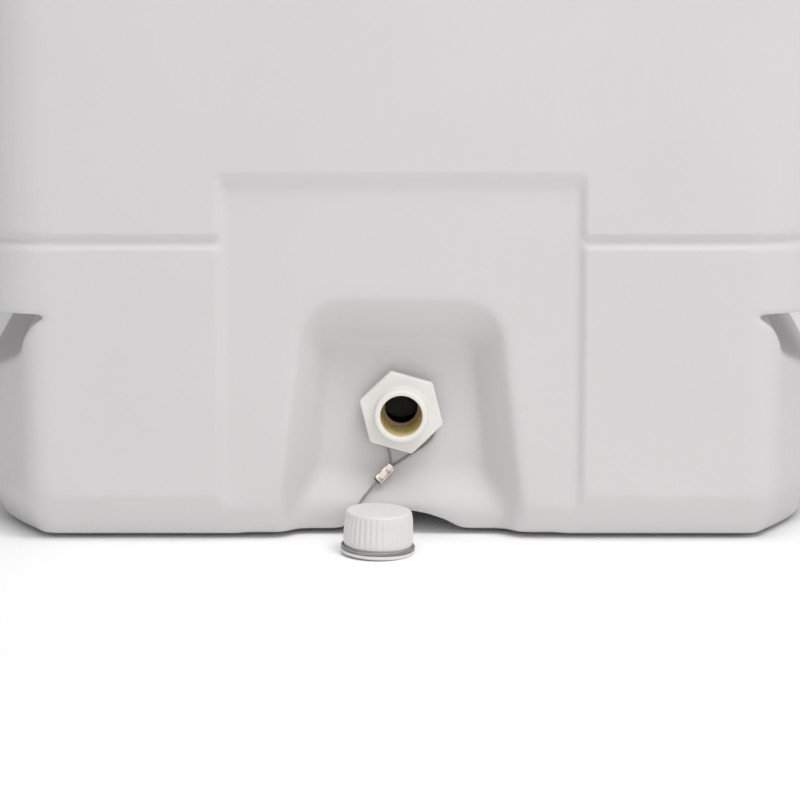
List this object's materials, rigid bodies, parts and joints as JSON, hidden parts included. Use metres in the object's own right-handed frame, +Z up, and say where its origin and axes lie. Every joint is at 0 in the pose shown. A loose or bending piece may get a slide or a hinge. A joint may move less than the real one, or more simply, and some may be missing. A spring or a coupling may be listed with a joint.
{
  "type": "fresh water tank",
  "caption": "Insulated double-walled fresh water tank with a screw fill lid, a push-pull vent and a recessed outlet whose ribbed cap lies on a wire lanyard.",
  "frame": {"origin": "centre of the base, on the ground that the rubber feet stand on", "axes": "+Z up, -Y out of the outlet end, +X to the right of someone facing the outlet"},
  "size_m": [0.432, 0.5956, 0.408],
  "materials": {
    "shell": "fine matte rotomoulded polyethylene, warm light grey",
    "liner": "smooth food-grade polyethylene",
    "foam": "rigid polyurethane foam",
    "black_rubber": "matte",
    "shell_plug": "satin",
    "fitting_white": "satin moulded nylon",
    "natural_nylon": "satin natural nylon",
    "grey_rubber": "matte",
    "wire_rope": "stranded stainless wire",
    "nickel": "bright nickel plate",
    "cap_white": "satin moulded polypropylene",
    "stainless": "satin stainless steel"
  },
  "bodies": {
    "root": {"outer_shell": "shell", "inner_liner": "liner", "foam_insulation": "foam", "rubber_feet": "black_rubber", "foam_plugs": "shell_plug", "drain_spout": "fitting_white", "drain_sleeve": "natural_nylon", "drain_outer_washer": "grey_rubber", "drain_inner_washer": "grey_rubber", "drain_lock_nut": "fitting_white", "spout_loop": "wire_rope", "spout_ferrule": "nickel", "lanyard_cable": "wire_rope", "cap_ferrule": "nickel", "cap_loop": "wire_rope", "collar_gasket": "grey_rubber", "fill_collar": "fitting_white", "collar_screws": "stainless", "vent_gasket": "grey_rubber", "vent_body": "fitting_white", "vent_lock_nut": "fitting_white"},
    "lid_gasket": {"lid_gasket": "grey_rubber"},
    "fill_lid": {"fill_lid": "cap_white"},
    "vent_plug": {"vent_plug": "cap_white", "vent_seal": "grey_rubber"},
    "drain_cap": {"drain_cap": "cap_white", "cap_gasket": "grey_rubber"}
  },
  "joints": [
    {"name": "lid_lift", "type": "slide", "parent": "root", "child": "lid_gasket", "axis": [0, 0, 1], "range_m": [0, 0.015]},
    {"name": "lid_turn", "type": "hinge", "parent": "lid_gasket", "child": "fill_lid", "pos_m": [0, -0.1, 0.39], "axis": [0, 0, 1], "range_deg": [0, 900]},
    {"name": "vent_pull", "type": "slide", "parent": "root", "child": "vent_plug", "axis": [0, 0, 1], "range_m": [0, 0.006]},
    {"name": "cap_spin", "type": "hinge", "parent": "root", "child": "drain_cap", "pos_m": [-0.0115, -0.2974, 0.00064], "axis": [0.0349, 0, 0.9994], "continuous": true}
  ],
  "couplings": [
    {"joint": "lid_lift", "follows": "lid_turn", "m_per_rad": 0.0009549}
  ]
}
